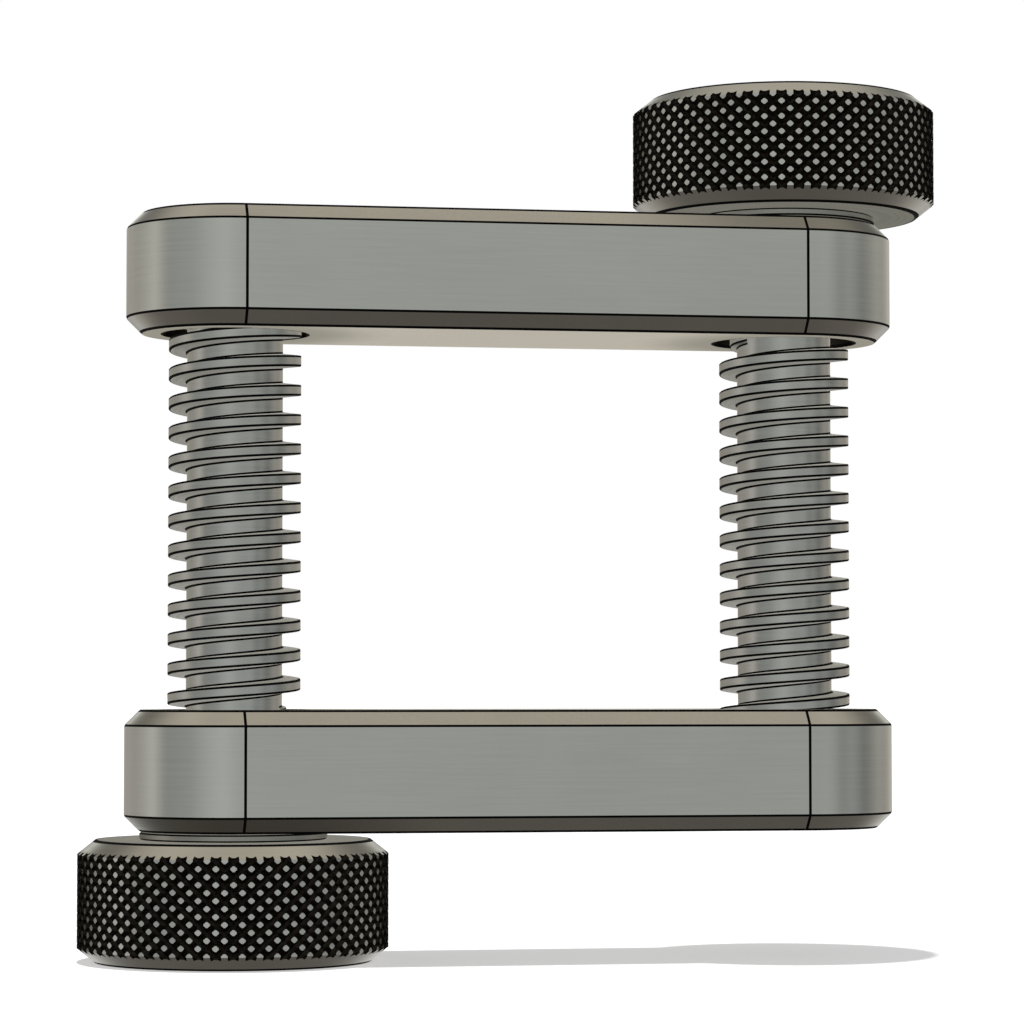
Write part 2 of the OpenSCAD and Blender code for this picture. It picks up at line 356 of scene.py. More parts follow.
def makeMesh(name, patches, finishes):
    # all patches in one mesh, their shared rims merged and every face turned outwards
    counts = np.cumsum([0] + [len(points) for points, _, _ in patches])
    points = np.concatenate([points for points, _, _ in patches]) / 1000
    quads = np.concatenate([quads + start for (_, quads, _), start in zip(patches, counts)])
    finish = np.concatenate([finish for _, _, finish in patches])
    mesh = bpy.data.meshes.new(name)
    mesh.vertices.add(len(points))
    mesh.vertices.foreach_set("co", points.astype(np.float32).ravel())
    mesh.loops.add(quads.size)
    mesh.loops.foreach_set("vertex_index", quads.astype(np.int32).ravel())
    mesh.polygons.add(len(quads))
    mesh.polygons.foreach_set("loop_start", np.arange(0, quads.size, 4, dtype=np.int32))
    mesh.polygons.foreach_set("material_index", finish.astype(np.int32))
    mesh.update(calc_edges=True)
    for finishName in finishes:
        mesh.materials.append(materials[finishName])
    merge(mesh)
    return mesh


def merge(mesh):
    # joins points that lie together, and reports edges that don't have two faces
    work = bmesh.new()
    work.from_mesh(mesh)
    bmesh.ops.remove_doubles(work, verts=work.verts, dist=mergeDistance)
    bmesh.ops.recalc_face_normals(work, faces=work.faces)
    openEdges = sum(len(edge.link_faces) != 2 for edge in work.edges)
    work.to_mesh(mesh)
    work.free()
    print(f"  {mesh.name}: {len(mesh.polygons)} faces, {openEdges} open edges")


def smoothShade(mesh, angle):
    # smooth shading, but for edges where the faces meet at more than the angle in degrees
    mesh.shade_smooth()
    mesh.set_sharp_from_angle(angle=radians(angle))


turnedOver = Matrix.Translation((0, 0, clamp["opening"] / 1000)) @ Matrix.Rotation(pi, 4, "Y")


def showPair(mesh, lower, upper, twin=None):
    # the piece of the lower half, and its twin in the upper half, turned over about Y
    twin = twin or mesh.copy()
    twin.transform(turnedOver)
    for (name, node), data in ((lower, mesh), (upper, twin)):
        piece = bpy.data.objects.new(name, data)
        bpy.context.scene.collection.objects.link(piece)
        piece.visible_glossy = False  # the steel mirrors the studio, as in the photograph
        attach(piece, frame["nodes"][node]["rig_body"])
        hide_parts(node)


def booleanMesh(name, base, tool, operation):
    # exact boolean of two meshes that list the same materials
    first = bpy.data.objects.new("boolBase", base)
    second = bpy.data.objects.new("boolTool", tool)
    for item in (first, second):
        bpy.context.scene.collection.objects.link(item)
    modifier = first.modifiers.new("cut", "BOOLEAN")
    modifier.object = second
    modifier.operation = operation
    modifier.solver = "EXACT"
    evaluated = first.evaluated_get(bpy.context.evaluated_depsgraph_get())
    result = bpy.data.meshes.new_from_object(evaluated)
    result.name = name
    for item in (first, second):
        bpy.data.objects.remove(item)
    return result


# helical threads

ridgeShows = 0.02  # share of its full height from which a ridge has its own finishes


def helixPatch(profile, startAngle, bottom, top, angles, radiusOf, pitch=clamp["pitch"]):
    # Height of a point = pitch * (angle - startAngle) / 360 + whole turns + its place in the
    # profile. Heights are held between bottom and top, where the rows then meet in a circle.
    # radiusOf gives a point's radius, and how much of its full height the ridge has there.
    width, radius, finish = (np.array(column) for column in zip(*profile))
    rise = pitch * (np.asarray(angles) - startAngle) / 360
    turns = np.arange(
        np.floor((bottom - rise.max()) / pitch) - 1, np.ceil((top - rise.min()) / pitch) + 2
    )
    middle = turns[:, None, None] * pitch + rise[None, None, :]
    width, radius = width[None, :, None], radius[None, :, None]
    height = np.broadcast_to(middle + width, (len(turns), len(profile), len(rise)))
    r, share = radiusOf(np.broadcast_to(radius, height.shape), height, middle + 0 * height)
    a = np.radians(angles)
    z = np.clip(height, bottom, top)
    rows = len(turns) * len(profile)
    points = np.stack([r * np.cos(a), r * np.sin(a), z], -1).reshape(rows, len(rise), 3)
    finish = np.where(share > ridgeShows, finish[None, :, None], 0).reshape(rows, len(rise))
    return gridPatch(points, finish[:-1, :-1])


# jaws: round-ended bars, one hole a bearing and the other tapped

jaw = {
    "radius": 7.4,          # half the width, and of the round ends
    "chamfer": 1.05,
    "cornerEdge": 0.09,     # how far the dark broken corners reach, between side and chamfer
    "rimEdge": 0.15,        # and between chamfer and flat face
    "rimInset": 0.03,       # part of that on the flat face
    "tangentLine": 0.19,    # width of the dark line where an end's radius starts
    "mouthLine": 0.12,      # and of the one round a hole's mouth
    "mouthRadius": 4.95,    # of all mouths but the bearing's lower one
    "mouthChamfer": 0.2,
    "recessRadius": 4.75,   # of the collar's recess, and of the tapped groove's floor
    "recessDepth": 2.2,
    "boreRadius": 3.05,     # of the journal's bearing
    "tappedRadius": 3.5,    # of the tapped hole inside its grooves
    "tappedHalf": 0.58136,  # half the groove's width at the tapped radius
    "grooveHalf": 0.44872,  # and at its floor
    "grooveRows": [0.22, 0.493, 0.537, 0.8],    # further rows beside it, for smooth mouths
    "threadStart": 225.0,   # angle where a groove's middle has height 0
    "endColumns": 37,       # rays round a quarter of the end
    "sideColumns": 25,      # along a straight side
    "middleColumns": 7,     # and across half the middle
    "sharpAngle": 15,
    "finishes": ["groundSides", "groundFaces", "milledChamfers", "blackOxide", "paintedShadeBores"],
}
tiny = 1e-6  # keeps rounding errors from moving a ray to the next side


def jawAngles(rim):
    # rays from a hole's axis: round the end, along both straight sides and across the middle
    corner = 180 - np.degrees(np.arctan2(rim, clamp["screwX"]))
    line = np.degrees(np.arctan2(jaw["tangentLine"], rim))
    half = np.concatenate([
        np.linspace(0, 90, jaw["endColumns"]), [90 + line],
        np.linspace(90, corner, jaw["sideColumns"])[1:],
        np.linspace(corner, 180, jaw["middleColumns"])[1:],
    ])
    return np.concatenate([-half[:0:-1], half]), corner


def jawOutline(angles, corner, rim, radius):
    # the ray's foot on the outline: radius * (cos a, sin a) round the end, and the x of the
    # rim's own ray along a side, so that chamfer and side stay in step with the flat face
    a = np.radians(angles)
    aside = np.abs(angles) > 90
    x = np.where(aside, rim * np.cos(a) / np.maximum(np.abs(np.sin(a)), tiny), radius * np.cos(a))
    y = np.where(aside, radius * np.sign(np.sin(a)), radius * np.sin(a))
    across = np.abs(angles) > corner + tiny
    x = np.where(across, -clamp["screwX"], x)
    y = np.where(across, -clamp["screwX"] * np.tan(a), y)
    return x, y


def jawRing(angles, corner, rim, holeRadius, z, bands):
    # flat face from a hole's mouth, radius * (cos a, sin a), to the rim, with a line between
    a = np.radians(angles)
    x, y = jawOutline(angles, corner, rim, rim)
    mouth = np.stack([holeRadius * np.cos(a), holeRadius * np.sin(a)], -1)
    line = np.stack([np.cos(a), np.sin(a)], -1) * (holeRadius + jaw["mouthLine"])
    rows = np.stack([mouth, line, np.stack([x, y], -1)])
    points = np.concatenate([rows, np.full(rows.shape[:2] + (1,), z)], -1)
    return gridPatch(points, np.array(bands)[:, None])


def makeJaw():
    # two halves, each of rays from its hole's axis: flat faces, skin and hole wall
    sides, faces, chamfers, dark, boreShade = range(len(jaw["finishes"]))
    height, radius, chamfer = clamp["jawHeight"], jaw["radius"], jaw["chamfer"]
    rim = radius - chamfer - jaw["rimInset"]
    angles, corner = jawAngles(rim)
    # skin from the upper rim out and down to the side, as (radius, height), mirrored below it
    cut = jaw["cornerEdge"] * cos(pi / 4)
    half = [
        (rim, 0.0), (radius - chamfer + jaw["rimEdge"], -jaw["rimEdge"]),
        (radius - cut, -chamfer + cut), (radius, -chamfer - jaw["cornerEdge"]),
    ]
    profile = [(r, -height - z) for r, z in half] + half[::-1]
    bands = [dark, chamfers, dark, sides, dark, chamfers, dark]
    columns = angles[np.abs(angles) <= corner + tiny]
    rows = [jawOutline(columns, corner, rim, r) + (0 * columns + z,) for r, z in profile]
    points = np.stack([np.stack(row, -1) for row in rows])
    finish = np.repeat(np.array(bands)[:, None], len(columns) - 1, axis=1)
    middle = np.abs((columns[:-1] + columns[1:]) / 2)
    onLine = (middle > 90) & (middle < 90 + np.degrees(jaw["tangentLine"] / rim))
    finish[1:-1, onLine] = dark
    skin = gridPatch(points, finish)
    patches = []
    for side, lowerRadius, lowerBand in (
        (1, jaw["mouthRadius"], dark), (-1, jaw["boreRadius"], faces)
    ):
        spin, shift = 90 - 90 * side, (clamp["screwX"] * side, 0, 0)
        upperFace = jawRing(angles, corner, rim, jaw["mouthRadius"], 0.0, [dark, faces])
        lowerFace = jawRing(angles, corner, rim, lowerRadius, -height, [lowerBand, faces])
        patches += [placed(patch, spin, shift) for patch in (upperFace, lowerFace, skin)]
    # bearing: recess for the collar, then the journal's bore
    bearing = [
        (jaw["mouthRadius"], 0.0), (jaw["recessRadius"], -jaw["mouthChamfer"]),
        (jaw["recessRadius"], -jaw["recessDepth"]), (jaw["boreRadius"], -jaw["recessDepth"]),
        (jaw["boreRadius"], -height),
    ]
    wall = revolved(bearing, [boreShade] * 4, angles)
    patches.append(placed(wall, 180, (-clamp["screwX"], 0, 0)))
    patches.append(placed(tappedPatch(angles, boreShade), 0, (clamp["screwX"], 0, 0)))
    mesh = makeMesh("lowerJaw", patches, jaw["finishes"])
    smoothShade(mesh, jaw["sharpAngle"])
    return mesh


def tappedPatch(angles, finish):
    # the screw's own profile with its running gaps, opened out at 45 degrees at both mouths
    height, half = clamp["jawHeight"], clamp["pitch"] / 2
    land, floor = jaw["tappedHalf"], jaw["grooveHalf"]
    inner, outer = jaw["tappedRadius"], jaw["recessRadius"]
    steps = sorted([0.0, floor, land, half] + jaw["grooveRows"])
    width = [-w for w in steps[::-1]] + steps[1:-1]
    radius = np.interp(np.abs(width), [0, floor, land, half], [outer, outer, inner, inner])
    profile = [(w, r, finish) for w, r in zip(width, radius)]

    def radiusOf(r, z, middle):
        inside = np.clip(z, -height, 0)
        depth = np.minimum(-inside, inside + height)
        return np.maximum(r, jaw["mouthRadius"] - depth), np.ones_like(r)

    wall = helixPatch(profile, jaw["threadStart"], -height, 0.0, angles, radiusOf)
    points, quads, bands = wall
    return points, quads[:, ::-1], bands  # its faces look to the hole's axis


showPair(makeJaw(), ("lowerJaw", "lower_jaw"), ("upperJaw", "upper_jaw"))
print("jaws made")


# spindles: square-form thread, collar, journal with a flat for the set screw

spindle = {
    "coreRadius": 3.25,
    "crestRadius": 4.5,
    "crestHalf": 0.375,     # half the ridge's thickness at its crest
    "rootHalf": 0.50638,    # and at its root
    "bevel": 0.045,         # broken corner of the ridge's crest
    "crestLine": 0.095,     # dark strip beside it on the crest
    "flankLine": 0.12,      # on the flank
    "rootLine": 0.12,       # and on the core beside the ridge's root
    "threadStart": -45.0,   # angle where the ridge's middle has height 0
    "runout": 0.35,         # part of a turn over which the ridge rises
    "firstHeight": -0.42362,    # of the ridge's middle where it starts
    "lastHeight": 31.37638,     # and where it has ended
    "threadBottom": -0.95,  # the core's lower end, which is the collar's top
    "threadTop": 32.0,
    "collarBottom": -2.15,
    "collarChamfer": 0.1,
    "tipTop": 32.9,
    "tipRadius": 3.1,
    "chamfer": 0.4,         # of the tip and of the journal's end
    "journalRadius": 3.0,
    "journalEnd": -14.85,
    "flatX": 2.6,           # distance of the journal's flat from the axis
    "flatBottom": -15.35,
    "flatTop": -10.35,
    "columns": 96,
    "sharpAngle": 22,
    "finishes": ["turnedScrew", "blackOxide", "cutFlanks"],
}


def makeSpindle():
    # a helical ridge on the core, closed by the revolved collar and journal and by the tip
    turned, dark, cut = range(len(spindle["finishes"]))
    core, crest = spindle["coreRadius"], spindle["crestRadius"]
    crestHalf, rootHalf, bevel = spindle["crestHalf"], spindle["rootHalf"], spindle["bevel"]
    slope, line = (rootHalf - crestHalf) / (crest - core), spindle["flankLine"]
    # one side of the ridge from its middle outwards, as (place along the screw, radius), and
    # the finish of the band after each point
    side = [
        (crestHalf - bevel - spindle["crestLine"], crest), (crestHalf - bevel, crest),
        (crestHalf, crest - bevel), (crestHalf + slope * line, crest - line),
        (rootHalf - slope * line, core + line), (rootHalf, core),
        (rootHalf + spindle["rootLine"], core),
    ]
    bands = [dark, dark, dark, cut, dark, dark, turned]
    upper = [(w, r, band) for (w, r), band in zip(side, bands)]
    lower = [(-w, r, band) for (w, r), band in zip(side[::-1], bands[-2::-1] + [turned])]
    profile = [(-clamp["pitch"] / 2, core, turned)] + lower + upper

    def radiusOf(r, z, middle):
        turns = (middle - spindle["firstHeight"]) / clamp["pitch"]
        last = (spindle["lastHeight"] - spindle["firstHeight"]) / clamp["pitch"]
        share = np.clip(np.minimum(turns, last - turns) / spindle["runout"], 0, 1)
        return core + (r - core) * share, share

    angles = np.linspace(0, 360, spindle["columns"] + 1)
    bottom, top = spindle["threadBottom"], spindle["threadTop"]
    thread = helixPatch(profile, spindle["threadStart"], bottom, top, angles, radiusOf)
    chamfer, journal, end = spindle["chamfer"], spindle["journalRadius"], spindle["journalEnd"]
    collar, small = spindle["collarBottom"], spindle["collarChamfer"]
    foot = [
        (0, end), (journal - chamfer, end), (journal, end + chamfer), (journal, collar),
        (crest - small, collar), (crest, collar + small),
        (crest, bottom - small), (crest - small, bottom), (core, bottom),
    ]
    tipRadius, tipTop = spindle["tipRadius"], spindle["tipTop"]
    tip = [
        (core, top), (tipRadius, top),
        (tipRadius, tipTop - chamfer), (tipRadius - chamfer, tipTop), (0, tipTop),
    ]
    footBands = [turned, turned, turned, turned, dark, turned, dark, turned]
    tipBands = [turned, turned, dark, turned]
    patches = [thread, revolved(foot, footBands, angles), revolved(tip, tipBands, angles)]
    mesh = makeMesh("leftSpindle", patches, spindle["finishes"])
    reach = journal + 1  # the box that cuts the flat ends well outside the journal
    flat = boxMesh(
        (spindle["flatX"], -reach, spindle["flatBottom"]),
        (reach, reach, spindle["flatTop"]),
        spindle["finishes"],
    )
    mesh = booleanMesh("leftSpindle", mesh, flat, "DIFFERENCE")
    mesh.transform(standingOnLeftScrew())
    smoothShade(mesh, spindle["sharpAngle"])
    return mesh


def boxMesh(low, high, finishes):
    # corner = low + (0 or 1 along each axis) * (high - low)
    corners = np.array([[x, y, z] for x in (0, 1) for y in (0, 1) for z in (0, 1)], float)
    points = np.array(low) + corners * (np.array(high) - np.array(low))
    quads = np.array(
        [[0, 1, 3, 2], [4, 6, 7, 5], [0, 4, 5, 1], [2, 3, 7, 6], [0, 2, 6, 4], [1, 5, 7, 3]]
    )
    return makeMesh("box", [(points, quads, np.zeros(6, int))], finishes)


def standingOnLeftScrew():
    # moves a piece made on the Z axis onto the left screw's axis, turned as it stands at rest
    shift = Matrix.Translation((-clamp["screwX"] / 1000, 0, 0))
    return shift @ Matrix.Rotation(radians(clamp["restTurn"]), 4, "Z")


showPair(
    makeSpindle(), ("leftSpindle", "left_spindle"), ("rightSpindle", "right_spindle")
)
print("spindles made")


# thrust washers between jaw and knob

washer = {
    "inner": 3.05,
    "outer": 6.35,
    "top": -8.25,           # with 0.05 of end play under the jaw
    "thickness": 0.5,
    "line": 0.11,           # size of the dark broken corners
    "columns": 144,
    "sharpAngle": 15,
    "finishes": ["paintedShadeWashers", "blackOxide"],
}


def makeWasher():
    # a rectangle with two broken corners, revolved
    steel, dark = range(len(washer["finishes"]))
    inner, outer, line = washer["inner"], washer["outer"], washer["line"]
    top, bottom = washer["top"], washer["top"] - washer["thickness"]
    profile = [
        (inner, top), (inner, bottom), (outer - line, bottom), (outer, bottom + line),
        (outer, top - line), (outer - line, top), (inner, top),
    ]
    angles = np.linspace(0, 360, washer["columns"] + 1)
    ring = revolved(profile, [steel, steel, dark, steel, dark, steel], angles)
    mesh = makeMesh("leftThrustWasher", [ring], washer["finishes"])
    mesh.transform(standingOnLeftScrew())
    smoothShade(mesh, washer["sharpAngle"])
    return mesh


showPair(
    makeWasher(),
    ("leftThrustWasher", "left_thrust_washer"),
    ("rightThrustWasher", "right_thrust_washer"),
)
print("washers made")


# knobs: diamond knurl cut through by both chamfers

knob = {
    "radius": 10.5,
    "top": -8.75,           # where the washer lies on the lower knob
    "height": 8.2,
    "chamferWidth": 1.2,
    "chamferHeight": 0.95,
    "columns": 57,          # diamonds round the knob
    "diamondHeight": 1.03,
    "grooveDepth": 0.3,
    "crest": 0.46,          # share of a diamond that its flat crest takes
    "roundedCorner": 0.09,  # and how much of it each rubbed-off corner takes
    "lowerTurn": 7.38,      # angle that the first column stands at
    "upperTurn": 8.10,
    "faceLine": 0.15,       # dark line at the rim of each end face, on the face
    "chamferLine": 0.17,    # and on the chamfer
    "boreRadius": 3.02,
    "boreDepth": 6.4,
    "holeRadius": 2.02,     # of the set screw's hole, over its threads
    "holeRoot": 1.70,
    "holeStart": 2.0,       # distances from the axis between which it is cut
    "holeEnd": 12.0,
    "faceColumns": 192,
    "sharpAngle": 15,
    "finishes": [
        "rubbedCrests", "blackOxide", "turnedChamfers", "facedSteel", "paintedShadeBores", "knurlGrooves"
    ],
}


def knurlPatches(turn):
    # Each diamond is a unit square in u and v, which run along the two groove directions:
    # angle = (u + v) / 2 columns, height = (u - v) / 2 diamond heights. The depth grows from
    # a flat crest in the middle to the grooves, by the larger of the two distances.
    crests, grooves = map(knob["finishes"].index, ("rubbedCrests", "knurlGrooves"))
    columns, rows = knob["columns"], 2 * int(knob["height"] / knob["diamondHeight"] + 2)
    middle = knob["top"] - knob["height"] / 2
    slope = (1 - knob["crest"]) / 2
    corner = knob["roundedCorner"]
    steps = np.array([0, slope, slope + corner, 1 - slope - corner, 1 - slope, 1])
    n = len(steps)
    column, row, i, j = np.meshgrid(
        np.arange(columns), np.arange(rows) - rows // 2, range(n), range(n), indexing="ij"
    )
    # the four points inside the crest move halfway to its corners, so that it has eight sides
    inside = np.isin(i, (2, 3)) & np.isin(j, (2, 3))
    du = steps[i] + np.where(inside, np.where(i == 2, -corner, corner) / 2, 0)
    dv = steps[j] + np.where(inside, np.where(j == 2, -corner, corner) / 2, 0)
    u = column + du
    v = column - row + dv
    depth = 1 - np.minimum(np.minimum(du, 1 - du), np.minimum(dv, 1 - dv)) / slope
    r = knob["radius"] - knob["grooveDepth"] * np.clip(depth, 0, 1)
    a = (u + v - 1) * pi / columns + radians(turn)
    z = middle + (u - v) * knob["diamondHeight"] / 2
    points = np.stack([r * np.cos(a), r * np.sin(a), z], -1)
    cells = np.arange(columns * rows)[:, None, None] * n * n
    start = (cells + np.arange(n - 1)[:, None] * n + np.arange(n - 1)).reshape(-1)
    quads = np.stack([start, start + n, start + n + 1, start + 1], -1)
    diamond = np.full((n - 1, n - 1), grooves)
    diamond[1:-1, 2] = diamond[2, 1:-1] = crests
    patches = [(points.reshape(-1, 3), quads, np.tile(diamond.ravel(), columns * rows))]
    # fans from the zigzag rims, the outer sides of both end rows, to the axis beyond the faces
    upperRim = np.concatenate([points[:, -1, :, 0], points[:, -1, -1, :]], 1)
    lowerRim = np.concatenate([points[:, 0, 0, :], points[:, 0, :, -1]], 1)
    for rim, side in ((upperRim, 1), (lowerRim, -1)):
        rim = rim.reshape(-1, 3)
        centre = 0 * rim + [0, 0, middle + side * knob["height"]]
        patches.append(gridPatch(np.stack([rim, centre]), grooves))
    return patches


def makeKnob(turn):
    # the knurled cylinder cut by a revolved blank, whose chamfers run on to twice their size
    finishes = knob["finishes"]
    faces, dark, chamfers, boreShade = map(
        finishes.index, ("facedSteel", "blackOxide", "turnedChamfers", "paintedShadeBores")
    )
    top, bottom = knob["top"], knob["top"] - knob["height"]
    faceRadius, line = knob["radius"] - knob["chamferWidth"], knob["faceLine"]
    wide, tall = knob["chamferWidth"] * 2, knob["chamferHeight"] * 2
    run, drop = knob["chamferLine"], knob["chamferLine"] * tall / wide
    blank = [
        (0, bottom), (faceRadius - line, bottom), (faceRadius, bottom),
        (faceRadius + run, bottom + drop),
        (faceRadius + wide, bottom + tall), (faceRadius + wide, top - tall),
        (faceRadius + run, top - drop),
        (faceRadius, top), (faceRadius - line, top), (knob["boreRadius"], top),
        (knob["boreRadius"], top - knob["boreDepth"]), (0, top - knob["boreDepth"]),
    ]
    bands = [faces, dark, dark, chamfers, dark, chamfers, dark, dark, faces, boreShade, boreShade]
    angles = np.linspace(0, 360, knob["faceColumns"] + 1)
    blankMesh = makeMesh("blank", [revolved(blank, bands, angles)], finishes)
    knurled = makeMesh("knurl", knurlPatches(turn), finishes)
    mesh = booleanMesh("leftKnob", knurled, blankMesh, "INTERSECT")
    mesh = booleanMesh("leftKnob", mesh, makeHole(boreShade), "DIFFERENCE")
    mesh.transform(standingOnLeftScrew())
    smoothShade(mesh, knob["sharpAngle"])
    print(f"  leftKnob: {len(mesh.polygons)} faces")
    return mesh


# set screws that lock the knobs, with a hexagon socket

setScrew = {
    "radius": 1.95,
    "root": 1.62,
    "pitch": 0.7,
    "crest": 0.12,          # share of the pitch that a thread's crest takes
    "point": 2.6,           # distance of the cup point's rim from the screw's axis
    "cup": 3.1,             # of the cup's bottom, where the thread starts
    "threadEnd": 8.25,
    "head": 8.6,
    "pointRadius": 1.0,
    "headRadius": 1.55,
    "socket": 1.1547,       # radius over the socket's corners
    "socketDepth": 2.4,
    "socketCone": 0.3,      # further depth in the middle of the socket
    "columns": 32,
    "sharpAngle": 30,
    "finishes": ["blackOxide"],
}
rodAngles = np.linspace(0, 360, setScrew["columns"] + 1)


def threadedRod(inner, outer, bottom, top, finish):
    # A V thread along Z: radius runs from inner to outer and back each pitch, and the rows that
    # are held at an end meet there in a circle of the inner radius.
    pitch = setScrew["pitch"]
    half, crest = pitch / 2, pitch * setScrew["crest"] / 2
    profile = [(-half, inner, finish), (-crest, outer, finish), (crest, outer, finish)]

    def radiusOf(r, z, middle):
        return np.where((z > bottom) & (z < top), r, inner), np.ones_like(r)

    return helixPatch(profile, 0.0, bottom, top, rodAngles, radiusOf, pitch)


def alongX(mesh):
    # lays a screw that was made along Z on the X axis, at the knob's middle height
    middle = (knob["top"] - knob["height"] / 2) / 1000
    mesh.transform(Matrix.Translation((0, 0, middle)) @ Matrix.Rotation(pi / 2, 4, "Y"))


def makeHole(finish):
    # what the tap cuts: a threaded rod with flat ends
    root, start, end = knob["holeRoot"], knob["holeStart"], knob["holeEnd"]
    patches = [threadedRod(root, knob["holeRadius"], start, end, finish)]
    patches += [revolved([(0, z), (root, z)], [finish], rodAngles) for z in (start, end)]
    mesh = makeMesh("hole", patches, knob["finishes"])
    alongX(mesh)
    return mesh


def makeSetScrew():
    # a threaded rod with a cup point and a chamfered head, less a hexagonal prism
    root, head, cup, end = (setScrew[name] for name in ("root", "head", "cup", "threadEnd"))
    point = [(0, cup), (setScrew["pointRadius"], setScrew["point"]), (root, cup)]
    cap = [(root, end), (setScrew["headRadius"], head), (0, head)]
    patches = [threadedRod(root, setScrew["radius"], cup, end, 0)]
    patches += [revolved(profile, [0, 0], rodAngles) for profile in (point, cap)]
    mesh = makeMesh("leftSetScrew", patches, setScrew["finishes"])
    socket, floor = setScrew["socket"], head - setScrew["socketDepth"]
    beyond = head + 1  # the prism ends well outside the head
    prism = [(0, floor - setScrew["socketCone"]), (socket, floor), (socket, beyond), (0, beyond)]
    cutter = revolved(prism, [0, 0, 0], np.arange(0, 361, 60))
    cutterMesh = makeMesh("socket", [cutter], setScrew["finishes"])
    mesh = booleanMesh("leftSetScrew", mesh, cutterMesh, "DIFFERENCE")
    alongX(mesh)
    mesh.transform(standingOnLeftScrew())
    smoothShade(mesh, setScrew["sharpAngle"])
    return mesh


showPair(
    makeKnob(knob["lowerTurn"]),
    ("leftKnob", "left_knob"),
    ("rightKnob", "right_knob"),
    twin=makeKnob(knob["upperTurn"]),
)
print("knobs made")
showPair(
    makeSetScrew(),
    ("leftSetScrew", "left_set_screw"),
    ("rightSetScrew", "right_set_screw"),
)
print("set screws made")


# camera at the photograph's angle

view = {
    "place": (-0.0423366, -0.2456572, 0.0015086),   # which gives the picture's perspective
    "forward": (0.1694, 0.9844, 0.0483),
    "lens": 127.36,
    "sensor": 36,
    "clip": (0.01, 20),
}
cameraData = bpy.data.cameras.new("photoCamera")
cameraData.lens = view["lens"]
cameraData.sensor_width = view["sensor"]
cameraData.clip_start, cameraData.clip_end = view["clip"]
camera = bpy.data.objects.new("photoCamera", cameraData)
camera.location = view["place"]
camera.rotation_euler = Vector(view["forward"]).to_track_quat("-Z", "Y").to_euler()
bpy.context.scene.collection.objects.link(camera)
bpy.context.scene.camera = camera


# studio: white world and paper floor, and what the steel mirrors

studio = {
    "floorHeight": -0.01697,    # under the lower knob
    "floorReach": 6.0,          # from the middle to each side
    "paperColor": "#e6e6e6",
    "paperGlow": 0.475,     # lifts the paper to white in the picture, and the shadow to pale grey
    "fill": 0.2,            # strength of the world on diffuse surfaces
    "sun": 2.2,
    "sunSpread": 1.0,
    "brightest": 1.5,       # brightness that the ramps' full level stands for
    # brightness at the horizon, by the angle from the clamp's front (-Y) towards +X
    "horizon": [
        (-180, 0.62), (-160, 0.72), (-148, 0.90), (-130, 0.88), (-113, 1.06), (-99, 1.34),
        (-86, 0.88), (-80, 0.72), (-62, 0.80), (-50, 0.84), (-36, 1.06), (-16, 1.25),
        (-6, 1.12), (8, 0.98), (22, 0.94), (32, 1.00), (40, 0.90), (50, 0.64),
        (62, 0.80), (70, 0.68), (80, 0.48), (92, 0.66), (106, 0.90), (122, 0.82),
        (141, 1.02), (150, 0.82), (163, 0.64), (180, 0.62),
    ],
    "horizonFade": (0.1, 0.28),     # sine of the angle upwards where it ends
    "frontTint": (1.0, 1.0, 1.02),
    "sideTint": (1.06, 0.99, 0.96),
    "frontAngle": 80,       # up to which the front tint holds on either side
    # brightness above and below it, by the angle upwards
    "upwards": [
        (-90, 0.275), (-72, 0.29), (-60, 0.335), (-45, 0.37), (-35, 0.54), (-24, 0.98),
        (-12, 1.20), (13, 1.45), (22, 0.66), (28, 0.48), (35, 0.50), (41, 0.66), (48, 0.98),
        (56, 1.26), (65, 1.40), (76, 1.22), (90, 1.25),
    ],
    "floorTint": (1.02, 1.0, 0.99),
    "ceilingTint": (1.0, 0.98, 0.92),
}


def addRamp(tree, share, steps, full, tints):
    # color = brightness * tint at each of the given angles, and even changes between them
    brightest = studio["brightest"]
    ramp = addNode(tree, "ValToRGB", {0: share})
    stops = ramp.color_ramp.elements
    for number, (angle, level) in enumerate(steps):
        stop = stops[number] if number < 2 else stops.new(1.0)
        stop.position = angle / full + 0.5
        stop.color = (*(np.array(tints(angle)) * level / brightest).tolist(), 1)
    return addNode(
        tree, "VectorMath", {0: ramp.outputs[0], 3: brightest}, operation="SCALE"
    ).outputs[0]


world = bpy.data.worlds.new("whiteStudio")
bpy.context.scene.world = world
tree = newTree(world)
split = addNode(tree, "SeparateXYZ", {0: addNode(tree, "TexCoord").outputs["Generated"]})
back = addNode(tree, "Math", {0: split.outputs["Y"], 1: -1.0}, operation="MULTIPLY").outputs[0]
around = addNode(tree, "Math", {0: split.outputs["X"], 1: back}, operation="ARCTAN2").outputs[0]
around = addNode(tree, "MapRange", {0: around, 1: -pi, 2: pi}).outputs[0]
upwards = addNode(tree, "Math", {0: split.outputs["Z"]}, operation="ARCSINE").outputs[0]
upwards = addNode(tree, "MapRange", {0: upwards, 1: -pi / 2, 2: pi / 2}).outputs[0]
horizon = addRamp(
    tree, around, studio["horizon"], 360,
    lambda angle: studio["sideTint" if abs(angle) > studio["frontAngle"] else "frontTint"],
)
dome = addRamp(
    tree, upwards, studio["upwards"], 180,
    lambda angle: studio["ceilingTint" if angle > 0 else "floorTint"],
)
tilt = addNode(tree, "Math", {0: split.outputs["Z"]}, operation="ABSOLUTE").outputs[0]
low, high = studio["horizonFade"]
domeShare = addNode(
    tree, "MapRange", {0: tilt, 1: low, 2: high}, interpolation_type="SMOOTHSTEP"
).outputs[0]
mirrored = addNode(
    tree, "Mix", {"Factor": domeShare, 6: horizon, 7: dome}, data_type="RGBA"
).outputs[2]
path = addNode(tree, "LightPath")
seen = addNode(
    tree, "Math",
    {0: path.outputs["Is Camera Ray"], 1: path.outputs["Is Transmission Ray"]},
    operation="MAXIMUM",
).outputs[0]
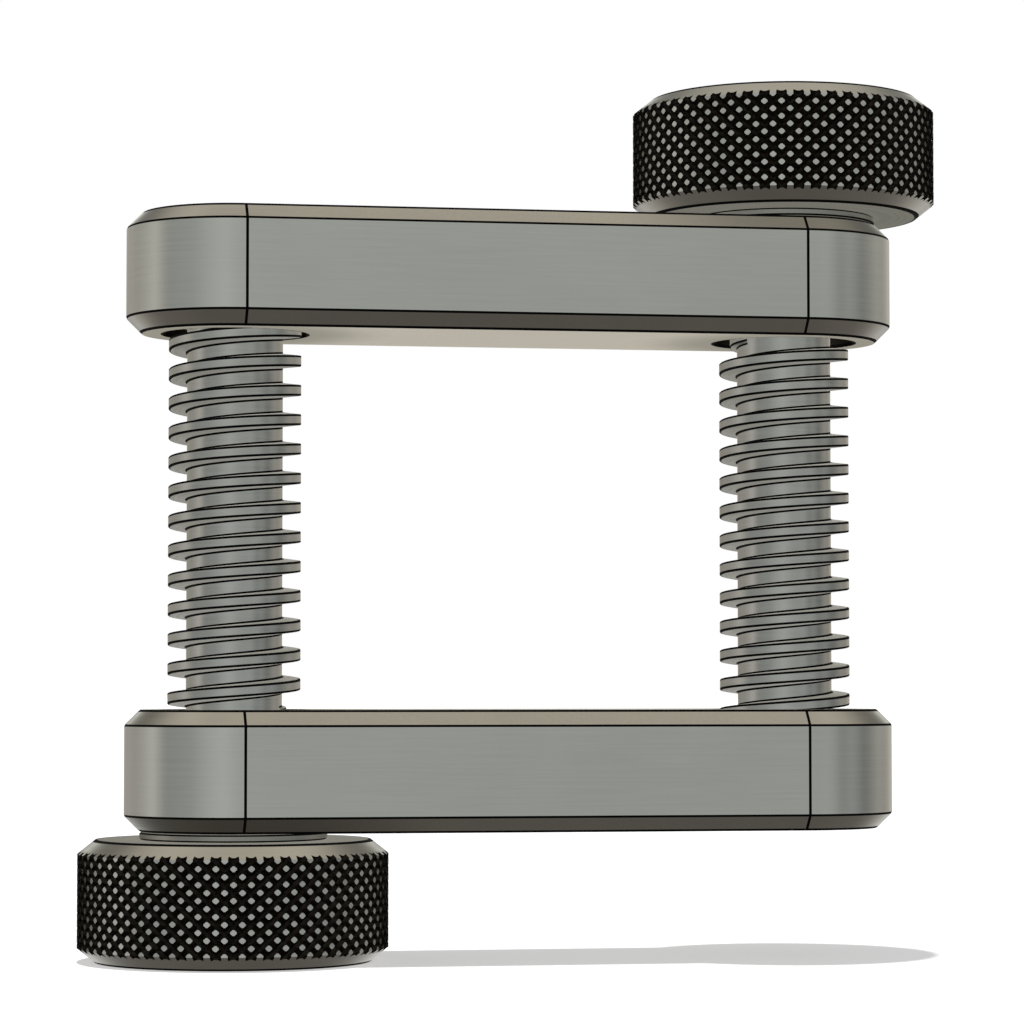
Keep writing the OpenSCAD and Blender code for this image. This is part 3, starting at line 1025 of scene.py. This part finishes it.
pureWhite = (1.0, 1.0, 1.0, 1.0)
fill = addNode(tree, "Background", {"Color": pureWhite, "Strength": studio["fill"]})
white = addNode(tree, "Background", {"Color": pureWhite})
glossy = addNode(tree, "Background", {"Color": mirrored})
mix = addNode(tree, "MixShader", {0: seen, 1: fill.outputs[0], 2: white.outputs[0]})
mix = addNode(
    tree, "MixShader", {0: path.outputs["Is Glossy Ray"], 1: mix.outputs[0], 2: glossy.outputs[0]}
)
addNode(tree, "OutputWorld", {"Surface": mix.outputs[0]})

# floor: the glow only reaches the camera, and the paper's own grey keeps the shadow
paperMaterial = bpy.data.materials.new("mattWhitePaper")
tree = newTree(paperMaterial)
paper = addNode(tree, "BsdfDiffuse", {"Color": linearColor(studio["paperColor"])})
toCamera = addNode(
    tree, "Math",
    {0: addNode(tree, "LightPath").outputs["Is Camera Ray"], 1: studio["paperGlow"]},
    operation="MULTIPLY",
).outputs[0]
glow = addNode(tree, "Emission", {"Color": pureWhite, "Strength": toCamera})
both = addNode(tree, "AddShader", {0: paper.outputs[0], 1: glow.outputs[0]})
addNode(tree, "OutputMaterial", {"Surface": both.outputs[0]})
ends = np.array([-1, 1]) * studio["floorReach"]
x, y = np.meshgrid(ends, ends)
points, quads, _ = gridPatch(np.stack([x, y, 0 * x], -1), 0)
floorMesh = bpy.data.meshes.new("floor")
floorMesh.from_pydata(points.tolist(), [], quads.tolist())
floorMesh.materials.append(paperMaterial)
floor = bpy.data.objects.new("floor", floorMesh)
floor.visible_glossy = False
bpy.context.scene.collection.objects.link(floor)
# the paper lies under the lower knob, or under the right screw's tip where that reaches lower
floor.location.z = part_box("right_spindle")[0].z
underTip = floor.constraints.new("COPY_LOCATION")
underTip.target = frame["bodies"]["right_screw"]
underTip.use_x = underTip.use_y = False
underTip.use_offset = True
underKnob = floor.constraints.new("LIMIT_LOCATION")
underKnob.use_max_z = True
underKnob.max_z = studio["floorHeight"]

sunData = bpy.data.lights.new("softSun", "SUN")
sunData.energy = studio["sun"]
sunData.angle = radians(studio["sunSpread"])
sun = bpy.data.objects.new("softSun", sunData)
sun.visible_glossy = False
bpy.context.scene.collection.objects.link(sun)
print("studio made")

bpy.context.scene.view_settings.view_transform = "Standard"
